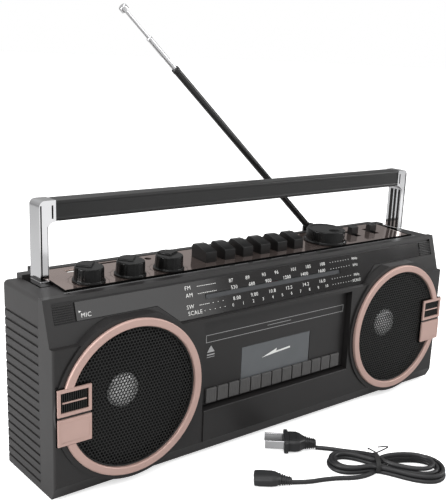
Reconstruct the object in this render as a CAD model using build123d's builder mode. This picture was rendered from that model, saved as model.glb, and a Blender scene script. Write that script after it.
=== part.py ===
from build123d import *
import math
import os

# A portable three-band radio with a cassette deck and two speakers.
# Origin: under the middle of the set, on the surface it stands on.
# +X to the set's right as a listener faces it, +Y to its back, +Z up. Millimetres.

# ---- driving dimensions ----
half_width = 190.0
foot_height = 3.0
front_y = -39.2          # front face
seam_y = -20.6           # where the front and rear casings meet
back_y = 31.0            # rear wall
bulge_y = 43.0           # rear face of the battery and transformer bulge
wall = 2.5
base_z = foot_height
chamfer_z = base_z + 9.2
ledge_z = 104.8          # top of the upright front, where the dial slope starts
ledge_y = -34.5          # foot of the dial slope
rim_y = -25.85           # top of the dial slope, front edge of the deck
top_z = 133.5            # height of that edge and of the end caps
deck_angle = 4.0         # the deck rises towards the back
cheek_x = 184.5          # the dial slope is recessed between two cheeks
deck_half = 169.3        # the rising deck ends here, beside the level end caps
slot_in = 171.3          # handle slots in the end caps
slot_out = 178.7
slot_front = -1.0
bulge_half = 150.0
bulge_top = 112.0

speaker_x = 132.4
speaker_z = 62.2
bezel_radius = 57.4
bezel_y = -40.6
ring_outer = 54.0
ring_inner = 48.5
ring_y = -43.0
bezel_seat_y = -36.7
badge_x = 177.2          # trims beside the speakers
badge_width = 23.6
badge_low = 42.4
badge_split = 61.2
badge_high = 80.0
pad_y = -41.6

door_half = 74.4         # recess of the cassette door
door_low = 36.2
door_high = 102.3
door_y = -33.8           # outer face of the door
door_back_y = -29.8
hinge_y = -31.8
hinge_z = 40.0

arm_out = 178.0          # handle
arm_in = 172.0
arm_front = -0.3
arm_back = 13.8
pivot_y = (arm_front + arm_back) / 2
pivot_z = 112.0
handle_top = 189.1
grip_low = 175.1
grip_half = 166.5

antenna_x = 96.1
antenna_y = 36.4
antenna_z = 138.5
antenna_tilt = 41.8      # degrees above level, leaning to the left
tube_end = 197.8         # distances along the antenna from its pivot
middle_end = 228.4
tip_start = 254.5
tip_end = 258.5

deck_drop = math.tan(math.radians(deck_angle))
deck = Plane(
    origin=(0, rim_y, top_z), x_dir=(1, 0, 0),
    z_dir=(0, -math.sin(math.radians(deck_angle)), math.cos(math.radians(deck_angle))),
)
slope_angle = math.atan2(rim_y - ledge_y, top_z - ledge_z)
slope = Plane(
    origin=(0, ledge_y, ledge_z), x_dir=(1, 0, 0),
    z_dir=(0, -math.cos(slope_angle), math.sin(slope_angle)),
)
antenna_dir = Vector(
    -math.cos(math.radians(antenna_tilt)), 0, math.sin(math.radians(antenna_tilt))
)
antenna_pivot = Vector(antenna_x, antenna_y, antenna_z)

os.makedirs("parts", exist_ok=True)


def keep(solid, label):
    """Label a finished piece and write its STEP file."""
    solid.label = label
    export_step(solid, f"parts/{label}.step")


def deck_z(y):
    """Height of the deck's surface at a depth."""
    return top_z + (y - rim_y) * deck_drop


def side_plane(x):
    """Upright plane facing +X at x, whose own axes are the set's Y and Z."""
    return Plane(origin=(x, 0, 0), x_dir=(0, 1, 0), z_dir=(1, 0, 0))


def front_plane(y):
    """Upright plane facing the listener at depth y, with axes X and Z."""
    return Plane(origin=(0, y, 0), x_dir=(1, 0, 0), z_dir=(0, -1, 0))


def on_antenna(distance):
    """Plane square to the antenna, at a distance from its pivot."""
    return Plane(origin=antenna_pivot + antenna_dir * distance, x_dir=(0, 1, 0),
                 z_dir=antenna_dir)


def block(low, high, mode=Mode.ADD):
    """A box between two corners, in the part being built."""
    size = [b - a for a, b in zip(low, high)]
    middle = [(a + b) / 2 for a, b in zip(low, high)]
    with Locations(tuple(middle)):
        Box(*size, mode=mode)


def clear_of_pad(side):
    """Cut away what would stand in the trim pad's place."""
    near, far = sorted((side * (badge_x - badge_width / 2 - 0.2), side * 195))
    block((near, -50, badge_low - 0.2), (far, -30, badge_high + 0.2), Mode.SUBTRACT)


# ---- deck layout, in the deck plane: x, then distance back from its front edge ----
plate_half = 168.5
plate_front = 8.5
plate_back = 51.0
plate_thick = 1.2
knob_spots = [(-146.3, 20.2), (-114.4, 20.2), (-82.6, 20.2)]
knob_radius = 9.8
knob_flange = 11.1
tuning_spot = (80.7, 27.0)
tuning_radius = 15.9
tuning_flange = 18.0
key_count = 6
key_pitch = 17.6
key_first = -45.4
key_width = 9.8
key_front = 18.8         # distance back from the deck's front edge
key_depth = 18.0
key_names = ["pause", "stop", "forward", "rewind", "play", "record"]
key_spots = [key_first + i * key_pitch for i in range(key_count)]
switch_spots = [(120.0, 32.3), (143.5, 32.3)]
switch_slot = (6.6, 15.8)
jack_spot = (-84.0, 44.5)
usb_spot = (-144.5, 43.0)
usb_slot = (13.0, 5.0)
card_spot = (-121.0, 48.0)
card_slot = (26.0, 2.6)
dial_half = 168.5
pointer_slot = (136.0, 3.6)
pointer_v = 13.8         # height of the pointer slot, up the slope

# ---- front casing ----
with BuildPart() as front_case:
    with BuildSketch(side_plane(-half_width)):
        with BuildLine():
            Polyline(
                (seam_y, base_z), (front_y + 4.7, base_z), (front_y, chamfer_z),
                (front_y, ledge_z), (ledge_y, ledge_z), (rim_y, top_z),
                (seam_y, deck_z(seam_y)), close=True,
            )
        make_face()
    extrude(amount=2 * half_width)
    # the end caps' tops are level
    block((-half_width - 1, rim_y - 1, top_z), (-deck_half, seam_y + 1, top_z + 4), Mode.SUBTRACT)
    block((deck_half, rim_y - 1, top_z), (half_width + 1, seam_y + 1, top_z + 4), Mode.SUBTRACT)
    corner_edges = front_case.edges().filter_by(Axis.Z)
    fillet(corner_edges.sort_by(Axis.Y)[0:2], 2.0)
    # hollow behind the walls
    with BuildSketch(side_plane(-half_width + wall)):
        with BuildLine():
            Polyline(
                (seam_y + 1, base_z + wall), (front_y + 5.5, base_z + wall),
                (front_y + wall, chamfer_z), (front_y + wall, ledge_z - wall),
                (ledge_y + wall + 1.2, ledge_z - wall),
                (rim_y + wall + 1.6, top_z - wall - 1), (seam_y + 1, top_z - wall - 1),
                close=True,
            )
        make_face()
    extrude(amount=2 * (half_width - wall), mode=Mode.SUBTRACT)
    # bezels around the speakers, rising into the dial slope
    with BuildSketch(front_plane(ledge_y + wall)):
        with Locations((-speaker_x, speaker_z), (speaker_x, speaker_z)):
            Circle(bezel_radius)
        with Locations((0, 117.4 + 20)):
            Rectangle(2 * half_width, 40, mode=Mode.SUBTRACT)
    extrude(amount=ledge_y + wall - bezel_y)
    # the dial slope is recessed between the cheeks, down to the bezels
    with BuildSketch(slope.offset(-1.6)):
        with BuildLine():
            Polyline(
                (-cheek_x, 13.4), (-108.5, 13.4), (-92.0, 0.0), (92.0, 0.0), (108.5, 13.4),
                (cheek_x, 13.4), (cheek_x, 27.0), (-cheek_x, 27.0), close=True,
            )
        make_face()
    extrude(amount=10, mode=Mode.SUBTRACT)
    # speaker openings
    with BuildSketch(front_plane(-20)):
        with Locations((-speaker_x, speaker_z), (speaker_x, speaker_z)):
            Circle(ring_inner)
    extrude(amount=25, mode=Mode.SUBTRACT)
    # seats of the speaker baskets, behind the bezels
    with BuildSketch(front_plane(-20)):
        with Locations((-speaker_x, speaker_z), (speaker_x, speaker_z)):
            Circle(ring_outer + 0.3)
    extrude(amount=-20 - bezel_seat_y, mode=Mode.SUBTRACT)
    # pads beside the speakers that carry the trims, with louvres in the upper ones
    for side in (-1, 1):
        near, far = sorted((side * (badge_x - badge_width / 2), side * (badge_x + badge_width / 2)))
        block((near, pad_y, badge_low), (far, bezel_seat_y - 0.3, badge_high))
        block((near + 2, pad_y - 1, badge_split + 3), (far - 2, pad_y + 1.6, badge_high - 2.6),
              Mode.SUBTRACT)
        for i in range(4):
            z = badge_split + 4.6 + i * 3.2
            block((near + 1.9, pad_y + 0.4, z), (far - 1.9, pad_y + 1.7, z + 1.4))
    # collar and opening of the cassette door
    block((-door_half - 2, front_y + 0.5, door_low - 2), (door_half + 2, -28, door_high + 2))
    block((-door_half, front_y - 1, door_low), (door_half, -20, door_high), Mode.SUBTRACT)
    with BuildSketch(side_plane(-door_half - 1.4)):
        with Locations((hinge_y, hinge_z)):
            Circle(1.28)
    extrude(amount=2 * door_half + 2.8, mode=Mode.SUBTRACT)
    # slot that the dial pointer shows through
    with BuildSketch(slope.offset(1)):
        with Locations((0, pointer_v)):
            Rectangle(pointer_slot[0] + 3, pointer_slot[1] + 1.4)
    extrude(amount=-12, mode=Mode.SUBTRACT)
keep(front_case.part, "front_case")

# ---- rear casing ----
groove_count = 18
groove_pitch = 6.2
with BuildPart() as rear_case:
    with BuildSketch(side_plane(-half_width)):
        with BuildLine():
            Polyline(
                (seam_y, base_z), (back_y, base_z), (back_y, deck_z(back_y)),
                (seam_y, deck_z(seam_y)), close=True,
            )
        make_face()
    extrude(amount=2 * half_width)
    for side in (-1, 1):
        near, far = sorted((side * deck_half, side * (half_width + 1)))
        block((near, seam_y - 1, top_z), (far, back_y + 1, top_z + 8), Mode.SUBTRACT)
    fillet(rear_case.edges().filter_by(Axis.Z).group_by(Axis.Y)[-1], 3.0)
    cap_edges = rear_case.edges().filter_by(Axis.Y).filter_by(
        lambda e: abs(abs(e.center().X) - half_width) < 0.1 and e.center().Z > 100)
    fillet(cap_edges, 3.0)
    # bulge at the back
    block((-bulge_half, back_y - 1, base_z + 3), (bulge_half, bulge_y, bulge_top))
    # hollow: the lower room, the upper room under the deck, and the bulge
    block((-half_width + wall, seam_y - 1, base_z + wall),
          (half_width - wall, back_y - wall, 100), Mode.SUBTRACT)
    with BuildSketch(side_plane(-deck_half + wall)):
        with BuildLine():
            Polyline(
                (seam_y - 1, 99), (back_y - wall, 99), (back_y - wall, deck_z(back_y - wall) - 4),
                (seam_y - 1, deck_z(seam_y - 1) - 4), close=True,
            )
        make_face()
    extrude(amount=2 * (deck_half - wall), mode=Mode.SUBTRACT)
    block((-bulge_half + wall, back_y - wall - 1, base_z + 3 + wall),
          (bulge_half - wall, bulge_y - wall, bulge_top - wall), Mode.SUBTRACT)
    # battery compartment, open to the back
    block((-56, 13, 9), (56, bulge_y - 1, 68))
    block((-54, 15, 11), (54, bulge_y + 1, 66), Mode.SUBTRACT)
    # foot of the antenna
    block((antenna_x - 10, back_y - 1, bulge_top - 1), (antenna_x + 10, bulge_y - 1, 130))
    # handle slots, with walls for the pivot pins, and a stop for the arm at the back of each
    for side in (-1, 1):
        near, far = sorted((side * slot_in, side * slot_out))
        block((near, slot_front, 103), (far, back_y - 8, top_z + 8), Mode.SUBTRACT)
        block((near - 1, back_y - 8, 126), (far + 1, back_y, top_z + 3))
    with BuildSketch(side_plane(-half_width + 5)):
        with Locations((pivot_y, pivot_z)):
            Circle(2.5)
    extrude(amount=2 * half_width - 10, mode=Mode.SUBTRACT)
    # recess of the deck plate
    with BuildSketch(deck.offset(-plate_thick)):
        with Locations((0, (plate_front + plate_back) / 2)):
            Rectangle(2 * plate_half + 0.8, plate_back - plate_front + 0.8)
    extrude(amount=6, mode=Mode.SUBTRACT)
    # holes for the keys, knob shafts, switches, jack and sockets
    with BuildSketch(deck.offset(2)):
        with Locations([(x, key_front + key_depth / 2) for x in key_spots]):
            Rectangle(key_width + 1.0, key_depth + 1.0)
        with Locations(knob_spots, [tuning_spot]):
            Circle(3.6)
        with Locations(switch_spots):
            Rectangle(*switch_slot)
        with Locations(jack_spot):
            Circle(2.6)
        with Locations(usb_spot):
            Rectangle(*usb_slot)
        with Locations(card_spot):
            Rectangle(*card_slot)
    extrude(amount=-12, mode=Mode.SUBTRACT)
    # grooves along both ends
    with BuildSketch(front_plane(back_y + 1)):
        for i in range(groove_count):
            z = base_z + 6 + i * groove_pitch
            with Locations((-half_width, z), (half_width, z)):
                Rectangle(2.2, 1.8)
    extrude(amount=back_y - seam_y, mode=Mode.SUBTRACT)
    # cooling slots through the lower back
    with BuildSketch(front_plane(bulge_y + 1)):
        with GridLocations(10, 0, 6, 1):
            with Locations((105, 86)):
                SlotOverall(26, 3, rotation=90)
    extrude(amount=8, mode=Mode.SUBTRACT)
    # socket of the mains lead
    with BuildSketch(front_plane(bulge_y + 1)):
        with Locations((115, 28)):
            RectangleRounded(21.0, 10.5, 4.0)
    extrude(amount=5, mode=Mode.SUBTRACT)
keep(rear_case.part, "rear_case")

# ---- deck plate, dial and lower panel ----
with BuildPart() as top_plate:
    with BuildSketch(deck.offset(-plate_thick)):
        with Locations((0, (plate_front + plate_back) / 2)):
            Rectangle(2 * plate_half, plate_back - plate_front)
        with Locations([(x, key_front + key_depth / 2) for x in key_spots]):
            Rectangle(key_width + 0.8, key_depth + 0.8, mode=Mode.SUBTRACT)
        with Locations(knob_spots, [tuning_spot]):
            Circle(3.4, mode=Mode.SUBTRACT)
        with Locations(switch_spots):
            Rectangle(*switch_slot, mode=Mode.SUBTRACT)
        with Locations(jack_spot):
            Circle(2.6, mode=Mode.SUBTRACT)
        with Locations(usb_spot):
            Rectangle(*usb_slot, mode=Mode.SUBTRACT)
        with Locations(card_spot):
            Rectangle(*card_slot, mode=Mode.SUBTRACT)
    extrude(amount=plate_thick)
keep(top_plate.part, "top_plate")

with BuildPart() as dial_panel:
    with BuildSketch(slope.offset(-1.6)):
        with BuildLine():
            Polyline(
                (-dial_half, 13.8), (-108.3, 13.8), (-91.8, 0.4), (91.8, 0.4), (108.3, 13.8),
                (dial_half, 13.8), (dial_half, 25.6), (-dial_half, 25.6), close=True,
            )
        make_face()
        with Locations((0, pointer_v)):
            Rectangle(*pointer_slot, mode=Mode.SUBTRACT)
    extrude(amount=1.2)
keep(dial_panel.part, "dial_panel")

with BuildPart() as dial_pointer:
    with BuildSketch(slope.offset(-1.4)):
        with Locations((0, pointer_v)):
            Rectangle(1.4, pointer_slot[1] - 0.8)
    extrude(amount=-3.4)
    with BuildSketch(slope.offset(-4.8)):
        with Locations((0, pointer_v)):
            Rectangle(10, 8)
    extrude(amount=-1.5)
keep(dial_pointer.part, "dial_pointer")

with BuildPart() as lower_panel:
    with BuildSketch(front_plane(front_y)):
        with Locations((0, (chamfer_z + door_low) / 2 + 0.1)):
            Rectangle(2 * 73.6, door_low - chamfer_z + 0.2)
    extrude(amount=0.9)
    fillet(lower_panel.edges().filter_by(Axis.X).group_by(Axis.Y)[0], 0.6)
keep(lower_panel.part, "lower_panel")

# ---- speakers: trim ring, grille, basket with magnet, and cone ----
for side, name in ((-1, "left"), (1, "right")):
    centre = (side * speaker_x, speaker_z)
    with BuildPart() as speaker_ring:
        with BuildSketch(front_plane(bezel_y)):
            with Locations(centre):
                Circle(ring_outer)
                Circle(ring_inner, mode=Mode.SUBTRACT)
        extrude(amount=bezel_y - ring_y)
        fillet(speaker_ring.edges().filter_by(GeomType.CIRCLE).group_by(Axis.Y)[0], 0.9)
        clear_of_pad(side)
    keep(speaker_ring.part, f"speaker_ring_{name}")

    with BuildPart() as grille:
        with BuildSketch(front_plane(bezel_y + 1.4)):
            with Locations(centre):
                Circle(ring_inner)
        extrude(amount=0.8)
        clear_of_pad(side)
    keep(grille.part, f"grille_{name}")

    axis_plane = Plane(origin=(side * speaker_x, 0, speaker_z), x_dir=(1, 0, 0),
                       z_dir=(0, 0, 1))
    with BuildPart() as basket:
        with BuildSketch(axis_plane):
            with BuildLine():
                Polyline(
                    (45, -36.7), (54, -36.7), (54, -34.7), (48, -34.7), (30, -13), (30, -3),
                    (0, -3), (0, -12), (26, -12), (28, -14.5), (45, -34.9), close=True,
                )
            make_face()
        revolve(axis=Axis((side * speaker_x, 0, speaker_z), (0, 1, 0)))
    keep(basket.part, f"speaker_basket_{name}")

    with BuildPart() as cone:
        with BuildSketch(axis_plane):
            with BuildLine():
                Polyline((44.6, -36.4), (44.6, -35.4), (12.5, -24), (12.5, -13), (11.5, -13),
                         (11.5, -25), (42, -36.4), close=True)
            make_face()
            with BuildLine():
                dome = ThreePointArc((0, -30.0), (6.5, -28.8), (12.2, -25.2))
                Polyline(dome @ 1, (12.2, -24), (0, -28.8), dome @ 0)
            make_face()
        revolve(axis=Axis((side * speaker_x, 0, speaker_z), (0, 1, 0)))
    keep(cone.part, f"speaker_cone_{name}")

# ---- trims beside the speakers: a frame above a plain plate, each side ----
with BuildPart() as side_trims:
    with BuildSketch(front_plane(pad_y)):
        for side in (-1, 1):
            with Locations((side * badge_x, (badge_split + badge_high) / 2 + 0.5)):
                Rectangle(badge_width, badge_high - badge_split - 1)
                Rectangle(badge_width - 4, badge_high - badge_split - 5.4, mode=Mode.SUBTRACT)
            with Locations((side * badge_x, (badge_low + badge_split) / 2 - 0.5)):
                Rectangle(badge_width, badge_split - badge_low - 1)
    extrude(amount=1.2)
keep(side_trims.part, "side_trims")

# ---- cassette door, with its holder rails and window ----
window_half = 35.0
window_low = 48.6
window_high = 74.8
with BuildPart() as cassette_door:
    with BuildSketch(front_plane(door_back_y)):
        with Locations((0, (37.6 + 101.6) / 2)):
            Rectangle(2 * 73.9, 101.6 - 37.6)
        with Locations((0, (window_low + window_high) / 2)):
            Rectangle(2 * window_half, window_high - window_low, mode=Mode.SUBTRACT)
    extrude(amount=door_back_y - door_y)
    # ribs along the foot of the door
    with BuildSketch(front_plane(door_y)):
        with Locations((0, 44.6)):
            with GridLocations(10.6, 0, 13, 1):
                Rectangle(9.2, 10.6)
    extrude(amount=1.8)
    # rails that hold the cassette's ends
    for side in (-1, 1):
        near, far = sorted((side * 51.5, side * 54.0))
        block((near, door_back_y, 43), (far, -17, 88))
        near, far = sorted((side * 47.0, side * 54.0))
        block((near, -18.5, 43), (far, -17, 88))
    # hinge pins
    with BuildSketch(side_plane(-75.4)):
        with Locations((hinge_y, hinge_z)):
            Circle(1.2)
    extrude(amount=150.8)
keep(cassette_door.part, "cassette_door")

with BuildPart() as door_window:
    with BuildSketch(front_plane(door_back_y - 1)):
        with Locations((0, (window_low + window_high) / 2)):
            Rectangle(2 * window_half, window_high - window_low)
    extrude(amount=2)
keep(door_window.part, "door_window")

# ---- cassette mechanism ----
plate_y = -12.0          # front face of the mechanism's plate
bridge_y = -4.0
capstan = (35.0, 90.0)
motor = (-42.0, 88.0)
roller = (35.0, 99.6)
spindle_spots = {"left": (-21.25, 62.0), "right": (21.25, 62.0)}
flywheel_radius = 16.0
pulley_radius = 3.5
with BuildPart() as deck_chassis:
    with BuildSketch(front_plane(plate_y + 1.5)):
        with Locations((0, 72)):
            Rectangle(136, 66)
        with Locations(capstan, *spindle_spots.values()):
            Circle(2.6, mode=Mode.SUBTRACT)
        with Locations((0, 100)):
            Rectangle(100, 12, mode=Mode.SUBTRACT)
    extrude(amount=1.5)
    with BuildSketch(front_plane(bridge_y + 1.5)):
        with Locations((0, 90)):
            Rectangle(128, 24)
        with Locations(capstan, motor):
            Circle(1.6, mode=Mode.SUBTRACT)
    extrude(amount=1.5)
    with BuildSketch(front_plane(bridge_y)):
        with Locations((-61, 82), (61, 82)):
            Circle(2.5)
    extrude(amount=bridge_y - plate_y - 1.5)
keep(deck_chassis.part, "deck_chassis")

with BuildPart() as flywheel:
    with BuildSketch(front_plane(-5.2)):
        with Locations(capstan):
            Circle(flywheel_radius)
    extrude(amount=4.0)
    with BuildSketch(front_plane(-3.0)):
        with Locations(capstan):
            Circle(1.5)
    extrude(amount=21.5)
keep(flywheel.part, "flywheel")

with BuildPart() as motor_pulley:
    with BuildSketch(front_plane(-5.4)):
        with Locations(motor):
            Circle(pulley_radius)
    extrude(amount=3.6)
    with BuildSketch(front_plane(-2.4)):
        with Locations(motor):
            Circle(1.0)
    extrude(amount=5.0)
keep(motor_pulley.part, "motor_pulley")

with BuildPart() as deck_motor:
    with BuildSketch(front_plane(11)):
        with Locations(motor):
            Circle(12)
    extrude(amount=13)
    fillet(deck_motor.edges().filter_by(GeomType.CIRCLE), 1.0)
keep(deck_motor.part, "deck_motor")

with BuildPart() as drive_belt:
    with BuildSketch(front_plane(-6.2)):
        with Locations(capstan):
            Circle(flywheel_radius + 0.9)
        with Locations(motor):
            Circle(pulley_radius + 0.9)
        make_hull()
    extrude(amount=2.0)
    with BuildSketch(front_plane(-6.0)):
        with Locations(capstan):
            Circle(flywheel_radius + 0.1)
        with Locations(motor):
            Circle(pulley_radius + 0.1)
        make_hull()
    extrude(amount=3.0, mode=Mode.SUBTRACT)
keep(drive_belt.part, "drive_belt")

for name, spot in spindle_spots.items():
    with BuildPart() as spindle:
        with BuildSketch(front_plane(plate_y - 0.3)):
            with Locations(spot):
                Circle(7)
        extrude(amount=2.2)
        with BuildSketch(front_plane(-9.0)):
            with Locations(spot):
                Circle(2.5)
        extrude(amount=15.4)
        with BuildSketch(front_plane(-17.0)):
            with Locations(spot):
                for turn in (0, 60, 120):
                    Rectangle(8.4, 1.2, rotation=turn)
        extrude(amount=6.0)
    keep(spindle.part, f"reel_spindle_{name}")

with BuildPart() as tape_head:
    with BuildSketch(front_plane(plate_y - 0.4)):
        with Locations((0, 99.5)):
            Rectangle(90, 8)
    extrude(amount=1.4)
    block((-7, -25, 91), (7, -13.8, 103.5))
    with BuildSketch(front_plane(-13.8)):
        with Locations(roller):
            Circle(1.2)
    extrude(amount=12.2)
keep(tape_head.part, "tape_head")

with BuildPart() as pinch_roller:
    with BuildSketch(front_plane(-15.0)):
        with Locations(roller):
            Circle(4.6)
            Circle(1.28, mode=Mode.SUBTRACT)
    extrude(amount=9.0)
keep(pinch_roller.part, "pinch_roller")

# ---- electronics ----
with BuildPart() as main_board:
    block((-150, -18, 109), (150, 27, 110.6))
    for x in (-120, -96, -60, 50, 78, 112):
        block((x - 6, 6, 110.5), (x + 6, 16, 117))
keep(main_board.part, "main_board")

with BuildPart() as controls:
    with BuildSketch(deck.offset(-12)):
        with Locations(knob_spots, [tuning_spot]):
            Rectangle(17, 17)
    extrude(amount=5)
    with BuildSketch(deck.offset(-14)):
        with Locations(switch_spots):
            Rectangle(12, 22)
    extrude(amount=5)
    with BuildSketch(deck.offset(-14)):
        with Locations(usb_spot, card_spot, jack_spot):
            Rectangle(12, 4)
    extrude(amount=8)
keep(controls.part, "controls")

with BuildPart() as transformer:
    block((-122, 0, 7), (-78, 27, 43))
    block((-117, 4, 5.6), (-83, 23, 47))
keep(transformer.part, "transformer")

with BuildPart() as battery_contacts:
    for row in (25, 52):
        for side in (-1, 1):
            near, far = sorted((side * 53.9, side * 52.6))
            block((near, 20, row - 9), (far, 36, row + 9))
keep(battery_contacts.part, "battery_contacts")

with BuildPart() as battery_door:
    with BuildSketch(front_plane(bulge_y)):
        with Locations((0, 38.5)):
            Rectangle(107.4, 54.4)
    extrude(amount=2.0)
    fillet(battery_door.edges().filter_by(Axis.Y), 2.0)
keep(battery_door.part, "battery_door")

inlet_spot = (115.0, 28.0)
with BuildPart() as mains_inlet:
    with BuildSketch(front_plane(bulge_y - wall)):
        with Locations(inlet_spot):
            RectangleRounded(24.4, 13.9, 5)
    extrude(amount=12)
    with BuildSketch(front_plane(bulge_y - wall)):
        with Locations(inlet_spot):
            RectangleRounded(20.4, 9.9, 4)
    extrude(amount=10, mode=Mode.SUBTRACT)
    with BuildSketch(front_plane(bulge_y - wall - 1)):
        with Locations((inlet_spot[0] - 4.3, inlet_spot[1]), (inlet_spot[0] + 4.3, inlet_spot[1])):
            Circle(1.2)
    extrude(amount=10)
keep(mains_inlet.part, "mains_inlet")

# ---- knobs ----
knob_names = ["volume_knob", "balance_knob", "tone_knob"]
for name, spot in zip(knob_names, knob_spots):
    with BuildPart() as knob:
        with BuildSketch(deck.offset(0.5)):
            with Locations(spot):
                Circle(knob_flange)
        extrude(amount=1.3)
        with BuildSketch(deck.offset(1.7)):
            with Locations(spot):
                Circle(knob_radius + 0.2)
        extrude(amount=9.0, taper=1.5)
        with BuildSketch(deck.offset(-6.5)):
            with Locations(spot):
                Circle(3.0)
        extrude(amount=8.0)
    keep(knob.part, name)

with BuildPart() as tuning_knob:
    with BuildSketch(deck.offset(0.5)):
        with Locations(tuning_spot):
            Circle(tuning_flange)
    extrude(amount=1.3)
    with BuildSketch(deck.offset(1.7)):
        with Locations(tuning_spot):
            Circle(tuning_radius + 0.2)
    extrude(amount=9.2, taper=1.5)
    with BuildSketch(deck.offset(-6.5)):
        with Locations(tuning_spot):
            Circle(3.0)
    extrude(amount=8.0)
keep(tuning_knob.part, "tuning_knob")

# ---- cassette keys: a stem under a cap that rises to a ridge at the back ----
key_y = rim_y + key_front
for name, x in zip(key_names, key_spots):
    with BuildPart() as key:
        with BuildSketch(side_plane(x - key_width / 2)):
            with BuildLine():
                Polyline(
                    (key_y, 122), (key_y + key_depth, 122), (key_y + key_depth, 143.6),
                    (key_y + key_depth - 2.4, 145.9), (key_y, 142.7), close=True,
                )
            make_face()
        extrude(amount=key_width)
        fillet(key.edges().filter_by(Axis.X).group_by(Axis.Z)[-1], 0.6)
    keep(key.part, f"key_{name}")

# ---- slide switches ----
for name, spot in zip(("function_switch", "band_switch"), switch_spots):
    with BuildPart() as switch:
        with BuildSketch(deck.offset(-7)):
            with Locations(spot):
                Rectangle(4.6, 4.4)
        extrude(amount=7.5)
        with BuildSketch(deck.offset(0.5)):
            with Locations(spot):
                Rectangle(8.6, 5.0)
        extrude(amount=6.4, taper=4)
    keep(switch.part, name)

# ---- handle ----
corner_radius = 4.0
for side, name in ((-1, "left"), (1, "right")):
    near, far = sorted((side * arm_in, side * arm_out))
    with BuildPart() as handle_arm:
        with BuildSketch(side_plane(near)):
            with Locations((pivot_y, pivot_z)):
                Circle((arm_back - arm_front) / 2)
            with Locations((pivot_y, (pivot_z + handle_top) / 2)):
                Rectangle(arm_back - arm_front, handle_top - pivot_z)
        extrude(amount=arm_out - arm_in)
        inner, outer = sorted((side * grip_half, side * (arm_in + 0.5)))
        block((inner, arm_front, grip_low), (outer, arm_back, handle_top))
        with BuildSketch(side_plane(-200)):
            with Locations((pivot_y, pivot_z)):
                Circle(2.56)
        extrude(amount=400, mode=Mode.SUBTRACT)
        top_edges = handle_arm.edges().filter_by(Axis.Y).filter_by(
            lambda e: abs(abs(e.center().X) - arm_out) < 0.1 and e.center().Z > 180)
        fillet(top_edges, corner_radius)
    keep(handle_arm.part, f"handle_arm_{name}")

with BuildPart() as handle_grip:
    with BuildSketch(side_plane(-grip_half)):
        with Locations((pivot_y, (grip_low + handle_top) / 2)):
            RectangleRounded(arm_back - arm_front, handle_top - grip_low, 3.0)
    extrude(amount=2 * grip_half)
keep(handle_grip.part, "handle_grip")

with BuildPart() as handle_pins:
    for side in (-1, 1):
        with BuildSketch(side_plane(side * 176 - 9)):
            with Locations((pivot_y, pivot_z)):
                Circle(2.5)
        extrude(amount=18)
keep(handle_pins.part, "handle_pins")

# ---- telescopic antenna on a swivelling fork ----
fork_gap = 1.5
with BuildPart() as antenna_base:
    with BuildSketch(Plane.XY.offset(130.3)):
        with Locations((antenna_x, antenna_y)):
            Circle(4.8)
    extrude(amount=3.2)
    with BuildSketch(front_plane(antenna_y + 3.4)):
        with Locations((antenna_x, antenna_z)):
            Circle(4.2)
        with Locations((antenna_x, (133.2 + antenna_z) / 2)):
            Rectangle(8.4, antenna_z - 133.2)
    extrude(amount=6.8)
    with BuildSketch(front_plane(antenna_y + fork_gap)):
        with Locations((antenna_x, antenna_z + 3)):
            Rectangle(30, 15.0)
    extrude(amount=2 * fork_gap, mode=Mode.SUBTRACT)
    with BuildSketch(front_plane(antenna_y + 3.4)):
        with Locations((antenna_x, antenna_z)):
            Circle(1.1)
    extrude(amount=6.8)
keep(antenna_base.part, "antenna_base")

with BuildPart() as antenna_tube:
    with BuildSketch(front_plane(antenna_y + fork_gap - 0.2)):
        with Locations((antenna_x, antenna_z)):
            Circle(2.6)
        with Locations((antenna_x + antenna_dir.X * 3.5, antenna_z + antenna_dir.Z * 3.5)):
            Rectangle(7.0, 4.4, rotation=-antenna_tilt)
    extrude(amount=2 * fork_gap - 0.4)
    with BuildSketch(on_antenna(5.4)):
        Circle(2.7)
    extrude(amount=tube_end - 5.4)
    with BuildSketch(on_antenna(40)):
        Circle(1.95)
    extrude(amount=tube_end, mode=Mode.SUBTRACT)
    with BuildSketch(front_plane(antenna_y + 6)):
        with Locations((antenna_x, antenna_z)):
            Circle(1.16)
    extrude(amount=12, mode=Mode.SUBTRACT)
keep(antenna_tube.part, "antenna_tube")

with BuildPart() as antenna_middle:
    with BuildSketch(on_antenna(78)):
        Circle(1.88)
        Circle(1.3, mode=Mode.SUBTRACT)
    extrude(amount=middle_end - 78)
keep(antenna_middle.part, "antenna_middle")

with BuildPart() as antenna_tip:
    with BuildSketch(on_antenna(108)):
        Circle(1.2)
    extrude(amount=tip_start - 108)
    with BuildSketch(on_antenna(tip_start)):
        Circle(2.9)
    extrude(amount=tip_end - tip_start)
    fillet(antenna_tip.edges().filter_by(GeomType.CIRCLE).sort_by(Axis.Z)[-1], 1.2)
keep(antenna_tip.part, "antenna_tip")

with BuildPart() as antenna_clip:
    block((-168, back_y, 123), (-160, back_y + 8.5, 139))
    with BuildSketch(side_plane(-170)):
        with Locations((antenna_y, antenna_z)):
            Circle(3.3)
        with Locations((antenna_y, antenna_z + 3)):
            Rectangle(6.6, 6.0)
    extrude(amount=12, mode=Mode.SUBTRACT)
keep(antenna_clip.part, "antenna_clip")

# ---- feet and screws ----
with BuildPart() as feet:
    with BuildSketch(Plane.XY):
        with GridLocations(312, 46, 2, 2):
            Circle(7)
    extrude(amount=foot_height)
keep(feet.part, "feet")

with BuildPart() as case_screws:
    with BuildSketch(front_plane(back_y)):
        with Locations((-178, 20), (178, 20), (-160, 92), (160, 92)):
            Circle(2.8)
    extrude(amount=-1.4)
keep(case_screws.part, "case_screws")

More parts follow.
